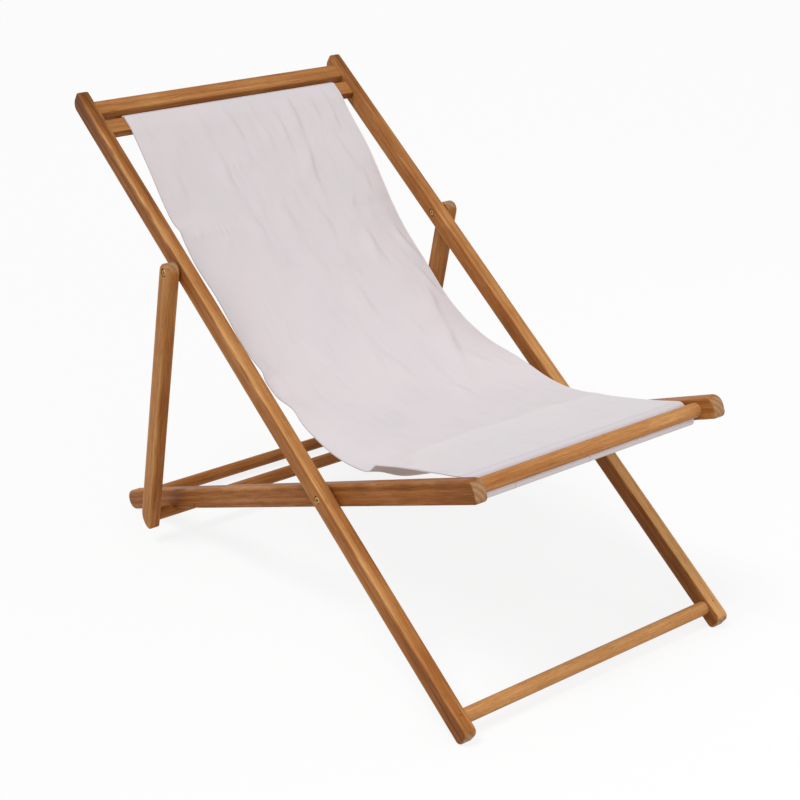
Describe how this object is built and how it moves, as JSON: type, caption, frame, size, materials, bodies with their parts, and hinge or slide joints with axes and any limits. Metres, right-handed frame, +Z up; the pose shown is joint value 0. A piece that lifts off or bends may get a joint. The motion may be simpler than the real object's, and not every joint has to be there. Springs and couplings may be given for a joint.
{
  "type": "folding beach chair",
  "caption": "Wooden folding beach chair: a leaning back frame crosses a seat frame, a prop frame hooks under the seat rails and a canvas sling hangs between head and seat front.",
  "frame": {"origin": "on the floor, midway across the chair and midway between the toe of the back-frame feet and the back of its head", "axes": "+Z up, -Y the way the sitter faces, +X to the sitter's left"},
  "size_m": [0.578, 0.995, 0.7369],
  "materials": {
    "oiled_wood": "oiled, soft sheen",
    "canvas": "plain woven, off-white",
    "brass": "dull brass plating",
    "washer": "dark nylon"
  },
  "bodies": {
    "back_frame": {"back_rail_right": "oiled_wood", "back_rail_left": "oiled_wood", "top_board": "oiled_wood", "head_slat": "oiled_wood", "foot_dowel": "oiled_wood", "back_brads": "brass", "head_rod": "oiled_wood", "seat_bolts": "brass", "seat_washers": "washer", "seat_nuts": "brass", "prop_bolts": "brass", "prop_washers": "washer", "prop_nuts": "brass", "sling": "canvas"},
    "seat_frame": {"seat_rail_right": "oiled_wood", "seat_rail_left": "oiled_wood", "front_dowel": "oiled_wood", "sling_dowel": "oiled_wood", "rear_dowel": "oiled_wood", "seat_brads": "brass", "front_rod": "oiled_wood"},
    "prop_frame": {"prop_strut_right": "oiled_wood", "prop_strut_left": "oiled_wood", "prop_dowel": "oiled_wood", "prop_brads": "brass"}
  },
  "joints": [
    {"name": "seat_fold", "type": "hinge", "parent": "back_frame", "child": "seat_frame", "pos_m": [0, -0.16223, 0.24907], "axis": [1, 0, 0], "range_deg": [0, 57.05], "deforming": ["sling"]},
    {"name": "prop_fold", "type": "hinge", "parent": "back_frame", "child": "prop_frame", "pos_m": [0, 0.19617, 0.50946], "axis": [1, 0, 0], "range_deg": [-64.22, 0]}
  ],
  "couplings": [
    {"joint": "prop_fold", "follows": "seat_fold", "ratio": -1.1256}
  ]
}
